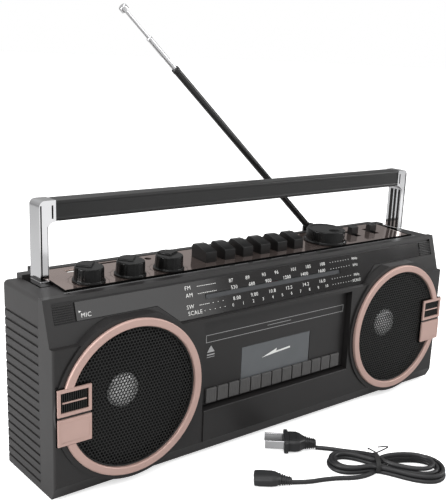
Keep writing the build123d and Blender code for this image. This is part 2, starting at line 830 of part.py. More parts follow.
# ---- mains lead, lying loose in front of the set ----
# Its own plane on the floor: first axis along the bundle, second away from the listener.
lead_radius = 1.6
lead_heading = -39.6
lead_plane = Plane(
    origin=(19.0, -123.6, 0), z_dir=(0, 0, 1),
    x_dir=(math.cos(math.radians(lead_heading)), math.sin(math.radians(lead_heading)), 0),
)
cord_route = [(-62, -27), (-51, -26), (-40, -21.5), (-29, -18.6), (-18, -17.6), (-8, -13.0), (1, -4)]
tail_route = [(1, 4), (-9, 15), (-20, 21.8), (-31, 24.8), (-41, 25.6)]
hank_outline = [
    (-36, 4), (-31, 12.5), (-21, 16), (-8, 9.5), (0, 6.5), (10, 9), (27, 17), (41, 14.5),
    (51, 2), (49, -13), (38, -22.5), (21, -18.5), (6, -8.5), (-6, -7), (-19, -9.5), (-31, -5),
]
hank_height = 7.6


def corner_radii(points):
    """Arc radius at each inner corner: 0.45 of the shorter run over the half turn's tangent."""
    radii = []
    for before, here, after in zip(points, points[1:], points[2:]):
        run_in = Vector(*here) - Vector(*before)
        run_out = Vector(*after) - Vector(*here)
        half_turn = math.radians(run_in.get_angle(run_out)) / 2
        radii.append(0.45 * min(run_in.length, run_out.length) / math.tan(half_turn))
    return radii


for route, label in ((cord_route, "lead_cord"), (tail_route, "lead_tail")):
    radii = corner_radii(route)
    print(label, "bend radii", [round(r, 1) for r in radii])
    with BuildPart() as cord:
        with BuildLine(lead_plane.offset(lead_radius)) as path:
            FilletPolyline(*route, radius=radii)
        with BuildSketch(Plane(origin=path.line @ 0, z_dir=path.line % 0)):
            Circle(lead_radius)
        sweep()
    print(label, "volume over section", round(cord.part.volume / (math.pi * lead_radius**2), 1),
          "length", round(path.wire().length, 1))
    keep(cord.part, label)

with BuildPart() as lead_hank:
    with BuildSketch(lead_plane):
        with BuildLine():
            Spline(*hank_outline, periodic=True)
        make_face()
    extrude(amount=hank_height)
keep(lead_hank.part, "lead_hank")

# figure-eight connector: a flat body and a tapered relief
with BuildPart() as lead_connector:
    with BuildSketch(lead_plane):
        with Locations((-79, -27.6)):
            RectangleRounded(18, 15.4, 3)
    extrude(amount=8)
    with BuildSketch(lead_plane):
        with BuildLine():
            Polyline((-71, -32.6), (-62, -29.4), (-62, -24.6), (-71, -22.6), close=True)
        make_face()
    extrude(amount=6)
keep(lead_connector.part, "lead_connector")

# two-pin plug: relief, body, flange and blades
with BuildPart() as mains_plug:
    with BuildSketch(lead_plane):
        with BuildLine():
            Polyline((-41, 23.0), (-41, 28.2), (-49, 29.8), (-54, 35.2), (-62, 35.6), (-62, 15.8),
                     (-54, 16.2), (-49, 21.6), close=True)
        make_face()
    extrude(amount=10)
    with BuildSketch(lead_plane):
        with Locations((-63.4, 25.7)):
            RectangleRounded(2.9, 24, 1.2)
    extrude(amount=11.4)
    with BuildSketch(lead_plane.offset(2.6)):
        with Locations((-71, 19.35), (-71, 32.05)):
            Rectangle(16, 1.5)
    extrude(amount=6.3)
keep(mains_plug.part, "mains_plug")
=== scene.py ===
import math
import bpy
import bmesh
import numpy as np
from mathutils import Matrix, Vector


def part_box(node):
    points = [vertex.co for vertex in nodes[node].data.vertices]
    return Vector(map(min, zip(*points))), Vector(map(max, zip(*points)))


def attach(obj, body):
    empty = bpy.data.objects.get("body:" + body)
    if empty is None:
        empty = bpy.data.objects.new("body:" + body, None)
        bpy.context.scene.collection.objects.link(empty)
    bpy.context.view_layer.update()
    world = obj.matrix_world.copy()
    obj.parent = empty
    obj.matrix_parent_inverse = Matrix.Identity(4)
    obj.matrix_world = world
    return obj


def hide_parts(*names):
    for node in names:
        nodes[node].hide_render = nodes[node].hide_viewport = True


# Looks of a portable radio with a cassette deck. Dictionaries are in millimetres and degrees.
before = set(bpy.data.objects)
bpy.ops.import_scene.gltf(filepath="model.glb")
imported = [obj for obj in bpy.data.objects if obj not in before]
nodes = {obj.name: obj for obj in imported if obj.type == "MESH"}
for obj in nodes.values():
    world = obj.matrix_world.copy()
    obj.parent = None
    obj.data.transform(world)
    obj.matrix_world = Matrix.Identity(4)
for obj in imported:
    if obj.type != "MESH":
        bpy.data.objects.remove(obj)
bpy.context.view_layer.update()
mm = 0.001
print("frame loaded:", len(nodes), "nodes")

# camera, light and floor
camera = {"place": (-403.5, -458.7, 282.0), "aim": (-24.4, 0.4, 125.1), "roll": 2.39,
          "lens": 58.6, "shift": (-0.0077, 0.0377)}


def addCamera():
    forward = (Vector(camera["aim"]) - Vector(camera["place"])).normalized()
    right = forward.cross(Vector((0, 0, 1))).normalized()
    up = right.cross(forward)
    turn = math.radians(camera["roll"])
    across = right * math.cos(turn) + up * math.sin(turn)
    above = up * math.cos(turn) - right * math.sin(turn)
    data = bpy.data.cameras.new("camera")
    data.lens = camera["lens"]
    data.sensor_width = 36.0
    data.shift_x, data.shift_y = camera["shift"]
    data.clip_start = 0.01
    eye = bpy.data.objects.new("camera", data)
    bpy.context.scene.collection.objects.link(eye)
    turned = Matrix((across, above, -forward)).transposed().to_4x4()
    eye.matrix_world = Matrix.Translation(Vector(camera["place"]) * mm) @ turned
    bpy.context.scene.camera = eye


# name: place, aim, size, power
lamps = {
    "keyLight": ((-1000, -900, 1300), (0, 0, 80), 900, 9.0),
    "fillLight": ((1300, -700, 700), (300, -500, 0), 700, 7.5),
    "topLight": ((0, 500, 1500), (0, 0, 80), 1000, 5.0),
    "sideLight": ((-1300, 200, 500), (0, 0, 80), 600, 15.0),
    "dialGlow": ((520, -1330, 560), (-100, -30, 120), 700, 2.0),
    "floorGlow": ((550, -900, 4), (550, -900, 900), 900, 1.3),
}


def seenApart(tree, lighting, shown, output):
    # One shader lights the set; the camera sees the other.
    path = tree.nodes.new("ShaderNodeLightPath")
    either = tree.nodes.new("ShaderNodeMixShader")
    tree.links.new(path.outputs["Is Camera Ray"], either.inputs["Fac"])
    tree.links.new(lighting.outputs[0], either.inputs[1])
    tree.links.new(shown.outputs[0], either.inputs[2])
    tree.links.new(either.outputs["Shader"], tree.nodes[output].inputs["Surface"])


def studioWorld():
    # White behind the set; its own light is grey, and darker towards the floor's line.
    world = bpy.data.worlds.new("studio")
    world.use_nodes = True
    tree = world.node_tree
    room = tree.nodes["Background"]
    place = tree.nodes.new("ShaderNodeTexCoord")
    split = tree.nodes.new("ShaderNodeSeparateXYZ")
    ramp = tree.nodes.new("ShaderNodeValToRGB")
    for spot, grey in ((0.0, 0.30), (0.10, 0.34), (0.34, 0.40), (0.60, 0.55), (1.0, 0.75)):
        stop = ramp.color_ramp.elements.new(spot)
        stop.color = (grey, grey, grey, 1)
    ramp.color_ramp.elements.remove(ramp.color_ramp.elements[0])
    tree.links.new(place.outputs["Generated"], split.inputs["Vector"])
    tree.links.new(split.outputs["Z"], ramp.inputs["Fac"])
    tree.links.new(ramp.outputs["Color"], room.inputs["Color"])
    # brighter behind the left end than behind the right one
    sweep = tree.nodes.new("ShaderNodeMapRange")
    for name, value in (("From Min", 0.35), ("From Max", 0.8), ("To Min", 1.35), ("To Max", 0.6)):
        sweep.inputs[name].default_value = value
    tree.links.new(split.outputs["X"], sweep.inputs["Value"])
    tree.links.new(sweep.outputs["Result"], room.inputs["Strength"])
    backdrop = tree.nodes.new("ShaderNodeBackground")
    backdrop.inputs["Color"].default_value = (1, 1, 1, 1)
    seenApart(tree, room, backdrop, "World Output")
    return world


def addLamps():
    for name, (place, aim, size, power) in lamps.items():
        data = bpy.data.lights.new(name, "AREA")
        data.size = size * mm
        data.energy = power
        lamp = bpy.data.objects.new(name, data)
        lamp.location = Vector(place) * mm
        aimed = (Vector(aim) - Vector(place)).to_track_quat("-Z", "Y")
        lamp.rotation_mode = "QUATERNION"
        lamp.rotation_quaternion = aimed
        bpy.context.scene.collection.objects.link(lamp)
    bpy.context.scene.world = studioWorld()
    bpy.context.scene.view_settings.view_transform = "Standard"


def floorPaper():
    # White paper to look at, which lights the set no more than grey card would.
    paint = bpy.data.materials.new("floorPaper")
    paint.use_nodes = True
    tree = paint.node_tree
    paper = tree.nodes["Principled BSDF"]
    paper.inputs["Base Color"].default_value = (0.9, 0.9, 0.9, 1)
    paper.inputs["Roughness"].default_value = 0.8
    paper.inputs["Emission Color"].default_value = (1, 1, 1, 1)
    paper.inputs["Emission Strength"].default_value = 0.62
    card = tree.nodes.new("ShaderNodeBsdfDiffuse")
    card.inputs["Color"].default_value = (0.5, 0.5, 0.5, 1)
    seenApart(tree, card, paper, "Material Output")
    return paint


def addFloor():
    half = 30.0
    data = bpy.data.meshes.new("floor")
    data.from_pydata([(-half, -half, 0), (half, -half, 0), (half, half, 0), (-half, half, 0)],
                     [], [(0, 1, 2, 3)])
    floor = bpy.data.objects.new("floor", data)
    bpy.context.scene.collection.objects.link(floor)
    data.materials.append(floorPaper())


addCamera()
addLamps()
addFloor()

# the lead's line
lead = {
    "origin": (19.0, -123.6), "heading": -39.6, "radius": 1.6,
    # listed points: along the bundle, then away from the listener
    "route": [(-62, -27), (-51, -26), (-40, -21.5), (-29, -18.6), (-18, -17.6), (-8, -13.0), (1, -4)],
    "tail": [(1, 4), (-9, 15), (-20, 21.8), (-31, 24.8), (-41, 25.6)],
    "tailHeights": [8.0, 4.4, 1.7, 1.6, 1.6],
    # each pass round the far end: reach, width, height
    "far": [(47.5, 27.0, 1.6), (45.0, 22.5, 1.7), (47.0, 25.5, 4.9), (43.0, 19.5, 5.0), (39.5, 17.5, 8.0)],
    # each pass round the near end: reach, width, height
    "near": [(34.0, 19.5, 1.6), (31.0, 17.6, 1.7), (33.0, 18.5, 4.9), (30.5, 17.2, 5.0)],
    "waist": [6.4, 3.2, 6.4, 3.2], "lean": -0.07, "steps": 9,
}


def onLead(along, away, height):
    # Turns the bundle's own two axes by its heading and moves them to its place on the floor.
    turn = math.radians(lead["heading"])
    x = lead["origin"][0] + along * np.cos(turn) - away * np.sin(turn)
    y = lead["origin"][1] + along * np.sin(turn) + away * np.cos(turn)
    return np.stack(np.broadcast_arrays(x, y, height), -1)


def lobe(reach, width, side):
    # Half a bow: along = reach cos a, away = width sin a (0.15 + 1.05 cos a), a from 80 to -80 degrees.
    a = np.radians(np.linspace(80, -80, lead["steps"]))
    if side < 0:
        a = -a
    return side * reach * np.cos(a), width * np.sin(a) * (0.15 + 1.05 * np.cos(a))


def leadLine():
    # The connector's run, then turns that go round the far end and the near end, then the plug's run.
    radius = lead["radius"]
    points = [(s, t, radius) for s, t in lead["route"]]
    for turn, (reach, width, height) in enumerate(lead["far"]):
        s, t = lobe(reach, width, 1)
        points += [(a, b + lead["lean"] * a, height) for a, b in zip(s, t)]
        if turn < len(lead["near"]):
            reach, width, height = lead["near"][turn]
            waist = lead["waist"][turn]
            points.append((0, -waist, height))
            s, t = lobe(reach, width, -1)
            points += [(a, b + lead["lean"] * a, height) for a, b in zip(s, t)]
            points.append((0, waist, height))
    points += [(s, t, h) for (s, t), h in zip(lead["tail"], lead["tailHeights"])]
    along, away, height = np.array(points).T
    return onLead(along, away, height) * mm


def makeCord():
    line = leadLine()
    data = bpy.data.curves.new("leadLine", "CURVE")
    data.dimensions = "3D"
    spline = data.splines.new("NURBS")
    spline.points.add(len(line) - 1)
    spline.points.foreach_set("co", np.hstack([line, np.ones((len(line), 1))]).ravel())
    spline.order_u = 3
    spline.use_endpoint_u = True
    data.resolution_u = 8
    data.bevel_resolution = 5
    data.bevel_depth = lead["radius"] * mm
    data.use_fill_caps = True
    cord = bpy.data.objects.new("leadLine", data)
    bpy.context.scene.collection.objects.link(cord)
    return cord


cord = makeCord()
print("camera and lead placed")

# places on the set
deckSet = {"edgeY": -25.85, "edgeZ": 133.5, "angle": 4.0}
slopeSet = {"footY": -34.5, "footZ": 104.8, "glass": -0.4}


def onDeck(x, back, height):
    # x, distance back from the deck's front edge, height square to the deck.
    turn = math.radians(deckSet["angle"])
    y = deckSet["edgeY"] + back * np.cos(turn) - height * np.sin(turn)
    z = deckSet["edgeZ"] + back * np.sin(turn) + height * np.cos(turn)
    return np.stack(np.broadcast_arrays(x, y, z), -1)


def onSlope(x, up, out):
    # x, distance up the dial slope from its foot, height square to it.
    turn = math.atan2(deckSet["edgeY"] - slopeSet["footY"], deckSet["edgeZ"] - slopeSet["footZ"])
    y = slopeSet["footY"] + up * np.sin(turn) - out * np.cos(turn)
    z = slopeSet["footZ"] + up * np.cos(turn) + out * np.sin(turn)
    return np.stack(np.broadcast_arrays(x, y, z), -1)


def onFront(depth):
    # x, height and distance in front of an upright plane at that depth.
    return lambda x, z, out: np.stack(np.broadcast_arrays(x, depth - out, z), -1)


def onBack(depth):
    # x, height and distance behind an upright plane at that depth.
    return lambda x, z, out: np.stack(np.broadcast_arrays(x, depth + out, z), -1)


def onSide(y, z, x):
    return np.stack(np.broadcast_arrays(x, y, z), -1)


def middleOf(node):
    low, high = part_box(node)
    return (low + high) / 2 / mm


# finishes
def mixColours(tree, factor, first, second):
    blend = tree.nodes.new("ShaderNodeMix")
    blend.data_type = "RGBA"
    blend.inputs["A"].default_value = (*first, 1)
    blend.inputs["B"].default_value = (*second, 1)
    tree.links.new(factor, blend.inputs["Factor"])
    return blend.outputs["Result"]


def makeFinish(name, colour, roughness, metallic=0.0, grain=0.5, depth=0.02, patch=18.0, vary=0.12,
               roughVary=0.06, stretch=(1, 1, 1), coat=0.0, clear=0.0, specular=0.4):
    # Plain shader with fine grain in its bump, and slow patches in its colour and roughness.
    paint = bpy.data.materials.new(name)
    paint.use_nodes = True
    tree = paint.node_tree
    shader = tree.nodes["Principled BSDF"]
    shader.inputs["Metallic"].default_value = metallic
    shader.inputs["Coat Weight"].default_value = coat
    shader.inputs["Coat Roughness"].default_value = 0.08
    shader.inputs["Transmission Weight"].default_value = clear
    shader.inputs["Specular IOR Level"].default_value = specular
    place = tree.nodes.new("ShaderNodeTexCoord")
    spread = tree.nodes.new("ShaderNodeMapping")
    spread.inputs["Scale"].default_value = stretch
    tree.links.new(place.outputs["Object"], spread.inputs["Vector"])
    fine = tree.nodes.new("ShaderNodeTexNoise")
    fine.inputs["Scale"].default_value = 1000.0 / grain
    fine.inputs["Detail"].default_value = 2.0
    slow = tree.nodes.new("ShaderNodeTexNoise")
    slow.inputs["Scale"].default_value = 1000.0 / patch
    slow.inputs["Detail"].default_value = 3.0
    for noise in (fine, slow):
        tree.links.new(spread.outputs["Vector"], noise.inputs["Vector"])
    bump = tree.nodes.new("ShaderNodeBump")
    bump.inputs["Strength"].default_value = 0.6
    bump.inputs["Distance"].default_value = depth * mm
    tree.links.new(fine.outputs["Fac"], bump.inputs["Height"])
    tree.links.new(bump.outputs["Normal"], shader.inputs["Normal"])
    darker = [c * (1 - vary) for c in colour]
    lighter = [min(1, c * (1 + vary)) for c in colour]
    tree.links.new(mixColours(tree, slow.outputs["Fac"], darker, lighter), shader.inputs["Base Color"])
    rough = tree.nodes.new("ShaderNodeMapRange")
    rough.inputs["To Min"].default_value = max(0.02, roughness - roughVary)
    rough.inputs["To Max"].default_value = roughness + roughVary
    tree.links.new(slow.outputs["Fac"], rough.inputs["Value"])
    tree.links.new(rough.outputs["Result"], shader.inputs["Roughness"])
    paint.diffuse_color = (*colour, 1)
    return paint


# name: colour, roughness, and what else differs
finishLooks = {
    "casePlastic": ((0.017, 0.016, 0.016), 0.36, dict(grain=0.35, depth=0.012)),
    "caseBack": ((0.020, 0.019, 0.019), 0.46, dict(grain=0.6, depth=0.03)),
    "dialGloss": ((0.012, 0.011, 0.011), 0.16, dict(grain=1.5, depth=0.002, coat=0.5)),
    "pointerBand": ((0.055, 0.058, 0.062), 0.3, dict(grain=0.8, depth=0.004)),
    "whiteInk": ((0.80, 0.80, 0.78), 0.5, dict(grain=0.2, depth=0.004, vary=0.04)),
    "greyInk": ((0.36, 0.36, 0.36), 0.5, dict(grain=0.2, depth=0.004, vary=0.05)),
    "bronzePlate": ((0.44, 0.345, 0.315), 0.09, dict(metallic=0.9, grain=0.25, depth=0.001,
                                                     stretch=(0.05, 1, 1), roughVary=0.03)),
    "bronzeLine": ((0.13, 0.10, 0.09), 0.4, dict(metallic=0.5)),
    "copper": ((0.55, 0.375, 0.33), 0.42, dict(metallic=0.35, grain=0.2, depth=0.006, vary=0.06)),
    "grillePaint": ((0.009, 0.0095, 0.009), 0.40, dict(grain=0.3, depth=0.008)),
    # lighter grey for the deck's front rim: painted highlight in place of the rim's reflections
    "paintedRimHighlight": ((0.12, 0.12, 0.12), 0.12, dict(specular=0.6)),
    # near-black with no sheen: painted shade for gaps, slits, grooves and openings
    "shadeBlack": ((0.0015, 0.0015, 0.0015), 0.9, dict(specular=0.05)),
    "basketPaint": ((0.004, 0.004, 0.004), 0.6, dict(specular=0.2)),
    "knobPlastic": ((0.003, 0.003, 0.003), 0.27, dict(grain=0.3, depth=0.006, specular=0.22)),
    "keyPlastic": ((0.006, 0.006, 0.006), 0.36, dict(specular=0.3, grain=0.3, depth=0.01)),
    # lighter grey for the keys' ridge tops: painted highlight where light falls on them
    "paintedRidgeHighlight": ((0.07, 0.07, 0.07), 0.35, dict(grain=0.3, depth=0.01)),
    "gripPlastic": ((0.012, 0.012, 0.012), 0.40, dict(grain=0.5, depth=0.02)),
    "chrome": ((0.62, 0.62, 0.63), 0.07, dict(metallic=1.0, grain=4.0, depth=0.004, roughVary=0.03,
                                              vary=0.03)),
    "satinSteel": ((0.55, 0.55, 0.56), 0.3, dict(metallic=1.0, grain=0.3, depth=0.004)),
    "antennaBlack": ((0.012, 0.012, 0.012), 0.25, dict(grain=0.6, depth=0.004)),
    "coneCloth": ((0.004, 0.004, 0.004), 0.8, dict(grain=0.8, depth=0.05)),
    "domeSilver": ((0.95, 0.95, 0.95), 0.2, dict(metallic=0.35, grain=0.4, depth=0.01)),
    "darkStripe": ((0.004, 0.004, 0.004), 0.3, dict(specular=0.3)),
    "rubber": ((0.014, 0.014, 0.014), 0.7, dict(grain=0.6, depth=0.03)),
    "leadVinyl": ((0.017, 0.017, 0.018), 0.42, dict(grain=0.5, depth=0.015, patch=30)),
    "windowTint": ((0.16, 0.17, 0.18), 0.14, dict(grain=2.0, depth=0.003, clear=0.35)),
    "doorRib": ((0.085, 0.083, 0.082), 0.42, dict(grain=0.5, depth=0.02)),
    "brass": ((0.66, 0.48, 0.22), 0.25, dict(metallic=1.0)),
    "board": ((0.03, 0.16, 0.06), 0.45, dict(grain=0.8, depth=0.03)),
    "whitePlastic": ((0.72, 0.72, 0.70), 0.45, dict(vary=0.04)),
    "redPointer": ((0.55, 0.05, 0.03), 0.35, dict()),
    "springNickel": ((0.62, 0.60, 0.56), 0.28, dict(metallic=1.0)),
}
finishes = {name: makeFinish(name, colour, roughness, **more)
            for name, (colour, roughness, more) in finishLooks.items()}

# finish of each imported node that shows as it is
nodeFinishes = {
    "casePlastic": ["front_case", "lower_panel", "cassette_door"],
    "caseBack": ["rear_case", "battery_door", "antenna_clip", "mains_inlet", "controls"],
    "dialGloss": ["dial_panel"],
    "redPointer": ["dial_pointer"],
    "bronzePlate": ["top_plate"],
    "copper": ["speaker_ring_left", "speaker_ring_right", "side_trims"],
    "basketPaint": ["speaker_basket_left", "speaker_basket_right"],
    "satinSteel": ["deck_chassis", "flywheel", "deck_motor",
                   "case_screws", "handle_pins", "tape_head", "transformer"],
    "chrome": ["handle_arm_left", "handle_arm_right", "antenna_middle", "antenna_tip"],
    "antennaBlack": ["antenna_tube", "antenna_base"],
    "rubber": ["drive_belt", "pinch_roller", "feet"],
    "brass": ["motor_pulley"],
    "whitePlastic": ["reel_spindle_left", "reel_spindle_right"],
    "board": ["main_board"],
    "springNickel": ["battery_contacts"],
    "windowTint": ["door_window"],
}
for finish, names in nodeFinishes.items():
    for name in names:
        nodes[name].data.materials.clear()
        nodes[name].data.materials.append(finishes[finish])
print("finishes made:", len(finishes))


# makers of pieces
def finishPiece(piece, finish, body, replaced=()):
    bpy.context.scene.collection.objects.link(piece)
    piece.data.materials.append(finishes[finish])
    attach(piece, body)
    if replaced:
        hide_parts(*replaced)
    return piece


def outward(data, merge=0.002):
    # Merges doubles and turns every face outwards.
    work = bmesh.new()
    work.from_mesh(data)
    bmesh.ops.remove_doubles(work, verts=work.verts, dist=merge * mm)
    bmesh.ops.recalc_face_normals(work, faces=work.faces)
    work.to_mesh(data)
    work.free()


def gridPiece(name, points, finish, body, replaced=(), closedPath=False, merge=0.002, smooth=True):
    # A surface from points[ring][step]: rings are closed; the first and last ring are
    # filled with a point at their middle, or joined to each other on a closed path.
    rings, steps = points.shape[:2]
    flat = points.reshape(-1, 3)
    ring = np.arange(rings if closedPath else rings - 1)[:, None]
    step = np.arange(steps)[None, :]
    after, beside = (ring + 1) % rings, (step + 1) % steps
    corners = [ring * steps + step, ring * steps + beside, after * steps + beside, after * steps + step]
    faces = np.stack(np.broadcast_arrays(*corners), -1).reshape(-1, 4).tolist()
    if not closedPath:
        flat = np.vstack([flat, points[0].mean(0), points[-1].mean(0)])
        for start, hub in ((0, len(flat) - 2), ((rings - 1) * steps, len(flat) - 1)):
            faces += [(start + i, start + (i + 1) % steps, hub) for i in range(steps)]
    data = bpy.data.meshes.new(name)
    data.from_pydata((flat * mm).tolist(), [], faces)
    outward(data, merge)
    data.polygons.foreach_set("use_smooth", np.full(len(data.polygons), smooth))
    return finishPiece(bpy.data.objects.new(name, data), finish, body, replaced)


def prisms(name, outlines, place, low, high, finish, body, slot, replaced=(), bevel=0.0, segments=3):
    # Flat outlines carried from one height to another in a place's own axes, as one piece.
    corners, faces = [], []
    for outline in outlines:
        flat = np.array(outline, float)
        count, start = len(flat), sum(len(c) for c in corners)
        corners += [place(flat[:, 0], flat[:, 1], low), place(flat[:, 0], flat[:, 1], high)]
        faces.append([start + i for i in range(count)])
        faces.append([start + count + i for i in reversed(range(count))])
        faces += [(start + i, start + (i + 1) % count, start + count + (i + 1) % count, start + count + i)
                  for i in range(count)]
    data = bpy.data.meshes.new(name)
    data.from_pydata((np.vstack(corners) * mm).tolist(), [], faces)
    outward(data)
    piece = bpy.data.objects.new(name, data)
    if bevel:
        rounding = piece.modifiers.new("rounding", "BEVEL")
        rounding.width = bevel * mm
        rounding.segments = segments
        rounding.limit_method = "ANGLE"
        rounding.harden_normals = True
        data.polygons.foreach_set("use_smooth", np.full(len(data.polygons), True))
    return finishPiece(piece, finish, body, replaced)


def rectangle(x, y, width, height):
    return [(x - width / 2, y - height / 2), (x + width / 2, y - height / 2),
            (x + width / 2, y + height / 2), (x - width / 2, y + height / 2)]


def lineFrame(left, low, right, high, width):
    # Four bars round a rectangle, meeting at its corners.
    return [rectangle((left + right) / 2, low, right - left + width, width),
            rectangle((left + right) / 2, high, right - left + width, width),
            rectangle(left, (low + high) / 2, width, high - low - width),
            rectangle(right, (low + high) / 2, width, high - low - width)]


def superRing(acrossHalf, upHalf, power, steps):
    # Superellipse: across = a |cos|^(2/p), up = b |sin|^(2/p), each with its own sign.
    turn = np.linspace(0, 2 * math.pi, steps, endpoint=False)
    across = acrossHalf * np.sign(np.cos(turn)) * np.abs(np.cos(turn)) ** (2 / power)
    up = upHalf * np.sign(np.sin(turn)) * np.abs(np.sin(turn)) ** (2 / power)
    return across, up


def tubePiece(name, path, radius, finish, body, steps=14):
    # A circle carried along a path: at each point the ring lies square to the path's run.
    path = np.array(path, float)
    run = np.gradient(path, axis=0)
    run /= np.linalg.norm(run, axis=1, keepdims=True)
    aside = np.cross(run, (0.2, 0.3, 0.93))
    aside /= np.linalg.norm(aside, axis=1, keepdims=True)
    above = np.cross(run, aside)
    turn = np.linspace(0, 2 * math.pi, steps, endpoint=False)
    points = (path[:, None] + radius * np.cos(turn)[None, :, None] * aside[:, None]
              + radius * np.sin(turn)[None, :, None] * above[:, None])
    return gridPiece(name, points, finish, body)


# the lead's pieces
plug = {
    # along, half across, half high, height of the middle, power
    "body": [(-41, 2.5, 2.6, 4.6, 3), (-41.4, 3.0, 3.2, 4.8, 3), (-49, 4.2, 4.0, 5.2, 3.4),
             (-50.5, 5.4, 4.3, 5.4, 3.6), (-53.5, 9.0, 4.7, 5.6, 4), (-56.5, 9.7, 4.8, 5.6, 4.6),
             (-61.6, 9.7, 4.8, 5.6, 4.6), (-61.9, 9.7, 4.8, 5.6, 4.6)],
    "flange": [(-61.8, 11.2, 5.2, 5.7, 4.6), (-62.2, 11.9, 5.6, 5.7, 4.6), (-64.5, 11.9, 5.6, 5.7, 4.6),
               (-64.9, 11.2, 5.2, 5.7, 4.6)],
    "away": 25.7, "ribs": (-48.6, -41.4, 5),
    # raised frame: start, end, half across, width of its line; blades: half spread, middle, length, width
    "panel": (-60.5, -55.5, 6.2, 0.9), "blades": (6.35, -71.4, 15.2, 1.5),
}
connector = {
    "body": [(-88, 6.2, 2.9, 4.0, 2.6), (-87.6, 7.2, 3.7, 4.0, 2.8), (-84, 7.6, 3.95, 4.0, 2.8),
             (-76, 7.4, 3.95, 4.0, 2.8), (-73, 6.4, 3.8, 3.9, 2.8), (-71, 4.8, 3.3, 3.8, 2.8),
             (-67, 3.6, 2.8, 3.25, 2.6), (-62.4, 2.8, 2.4, 2.8, 2.4), (-62, 2.2, 2.1, 2.5, 2.2)],
    "away": -27.4, "ribs": (-70.5, -62.6, 5), "sockets": (3.6, 4.0, 2.6),
}


def leadLoft(name, stations, away, ribs, finish, replaced=()):
    # Superellipse sections between stations; across a relief's length they swell in square ribs.
    stations = np.array(stations, float)
    reach = np.linspace(stations[:, 0].min(), stations[:, 0].max(), 90)
    along = np.unique(np.concatenate([stations[:, 0], reach]))
    order = np.argsort(stations[:, 0])
    values = [np.interp(along, stations[order, 0], stations[order, i]) for i in range(1, 5)]
    swell = np.ones_like(along)
    if ribs:
        start, end, count = ribs
        inside = (along > start) & (along < end)
        wave = np.sin(2 * math.pi * count * (along[inside] - start) / (end - start))
        swell[inside] += 0.10 * np.sign(wave)
    rings = []
    for s, across, high, middle, power, size in zip(along, *values, swell):
        a, b = superRing(across * size, high * size, power, 44)
        rings.append(onLead(s, away + a, middle + b))
    return gridPiece(name, np.array(rings), finish, "power_lead", replaced)


plugBody = leadLoft("plugBody", plug["body"], plug["away"], plug["ribs"], "leadVinyl", ["mains_plug"])
plugFlange = leadLoft("plugFlange", plug["flange"], plug["away"], None, "leadVinyl")
start, end, half, width = plug["panel"]
panelLines = lineFrame(start, plug["away"] - half, end, plug["away"] + half, width)
plugPanel = prisms("plugPanel", panelLines, onLead, 10.2, 10.75, "leadVinyl", "power_lead", "lead_vinyl",
                   bevel=0.2)
spread, middle, length, width = plug["blades"]
bladeOutlines = [rectangle(middle, plug["away"] + side * spread, length, width) for side in (-1, 1)]
plugBlades = prisms("plugBlades", bladeOutlines, onLead, 2.6, 8.9, "chrome", "power_lead", "contact_nickel",
                    bevel=0.35)
connectorBody = leadLoft("connectorBody", connector["body"], connector["away"], connector["ribs"],
                         "leadVinyl", ["lead_connector"])
spread, middle, width = connector["sockets"]
socketOutlines = [rectangle(connector["away"] + side * spread, middle, width, width) for side in (-1, 1)]
connectorSockets = prisms("connectorSockets", socketOutlines, lambda a, b, s: onLead(s, a, b), -88.2, -87.0,
                          "rubber", "power_lead", "lead_vinyl", bevel=0.5)
# section: half across, half high, power, steps
tieSet = {"section": (9.4, 4.55, 3.0, 60), "middle": 5.0, "halfWide": 1.7, "thin": 0.055, "wire": 0.5}


def tieBand():
    # A flat band round the waist of the bundle: a superellipse path, with an elliptic section.
    away, high = superRing(*tieSet["section"])
    turn = np.linspace(0, 2 * math.pi, 12, endpoint=False)
    grow = 1 + tieSet["thin"] * np.sin(turn)
    along = np.broadcast_to(tieSet["halfWide"] * np.cos(turn), (len(away), len(turn)))
    points = onLead(along, away[:, None] * grow, tieSet["middle"] + high[:, None] * grow)
    return gridPiece("tieBand", points, "rubber", "power_lead", closedPath=True)


tie = tieBand()
sweep = np.linspace(0, 1, 24)
# along, away and height of the tie's loop and of its loose end
loopPath = onLead(1 + 9 * np.sin(math.pi * sweep * 0.9), 8.6 + 9 * sweep,
                  8.2 + 2.5 * np.sin(math.pi * sweep))
endPath = onLead(0.5 + 7.5 * sweep ** 2 - 12 * sweep, 8.8 + 8 * sweep - 4 * sweep ** 3,
                 8.4 + 0.8 * np.sin(math.pi * sweep))
tieLoop = tubePiece("tieLoop", loopPath, tieSet["wire"], "rubber", "power_lead")
tieEnd = tubePiece("tieEnd", endPath, tieSet["wire"], "rubber", "power_lead")
cord.data.materials.append(finishes["leadVinyl"])
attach(cord, "power_lead")
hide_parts("lead_cord", "lead_tail", "lead_hank")
leadLine()[0].tolist()
print("lead, plug and connector made")

# speakers
speaker = {"centreX": 132.4, "padInner": 165.0, "padMiddle": 61.2, "padHalf": 19.4, "radius": 48.4,
           "pitch": 2.45, "hole": 1.0, "front": -40.2, "thick": 0.5, "rim": 0.9,
           "dome": 12.2, "cone": 43.0, "coneFront": -36.0, "coneBack": -25.5, "domeFront": -31.2}


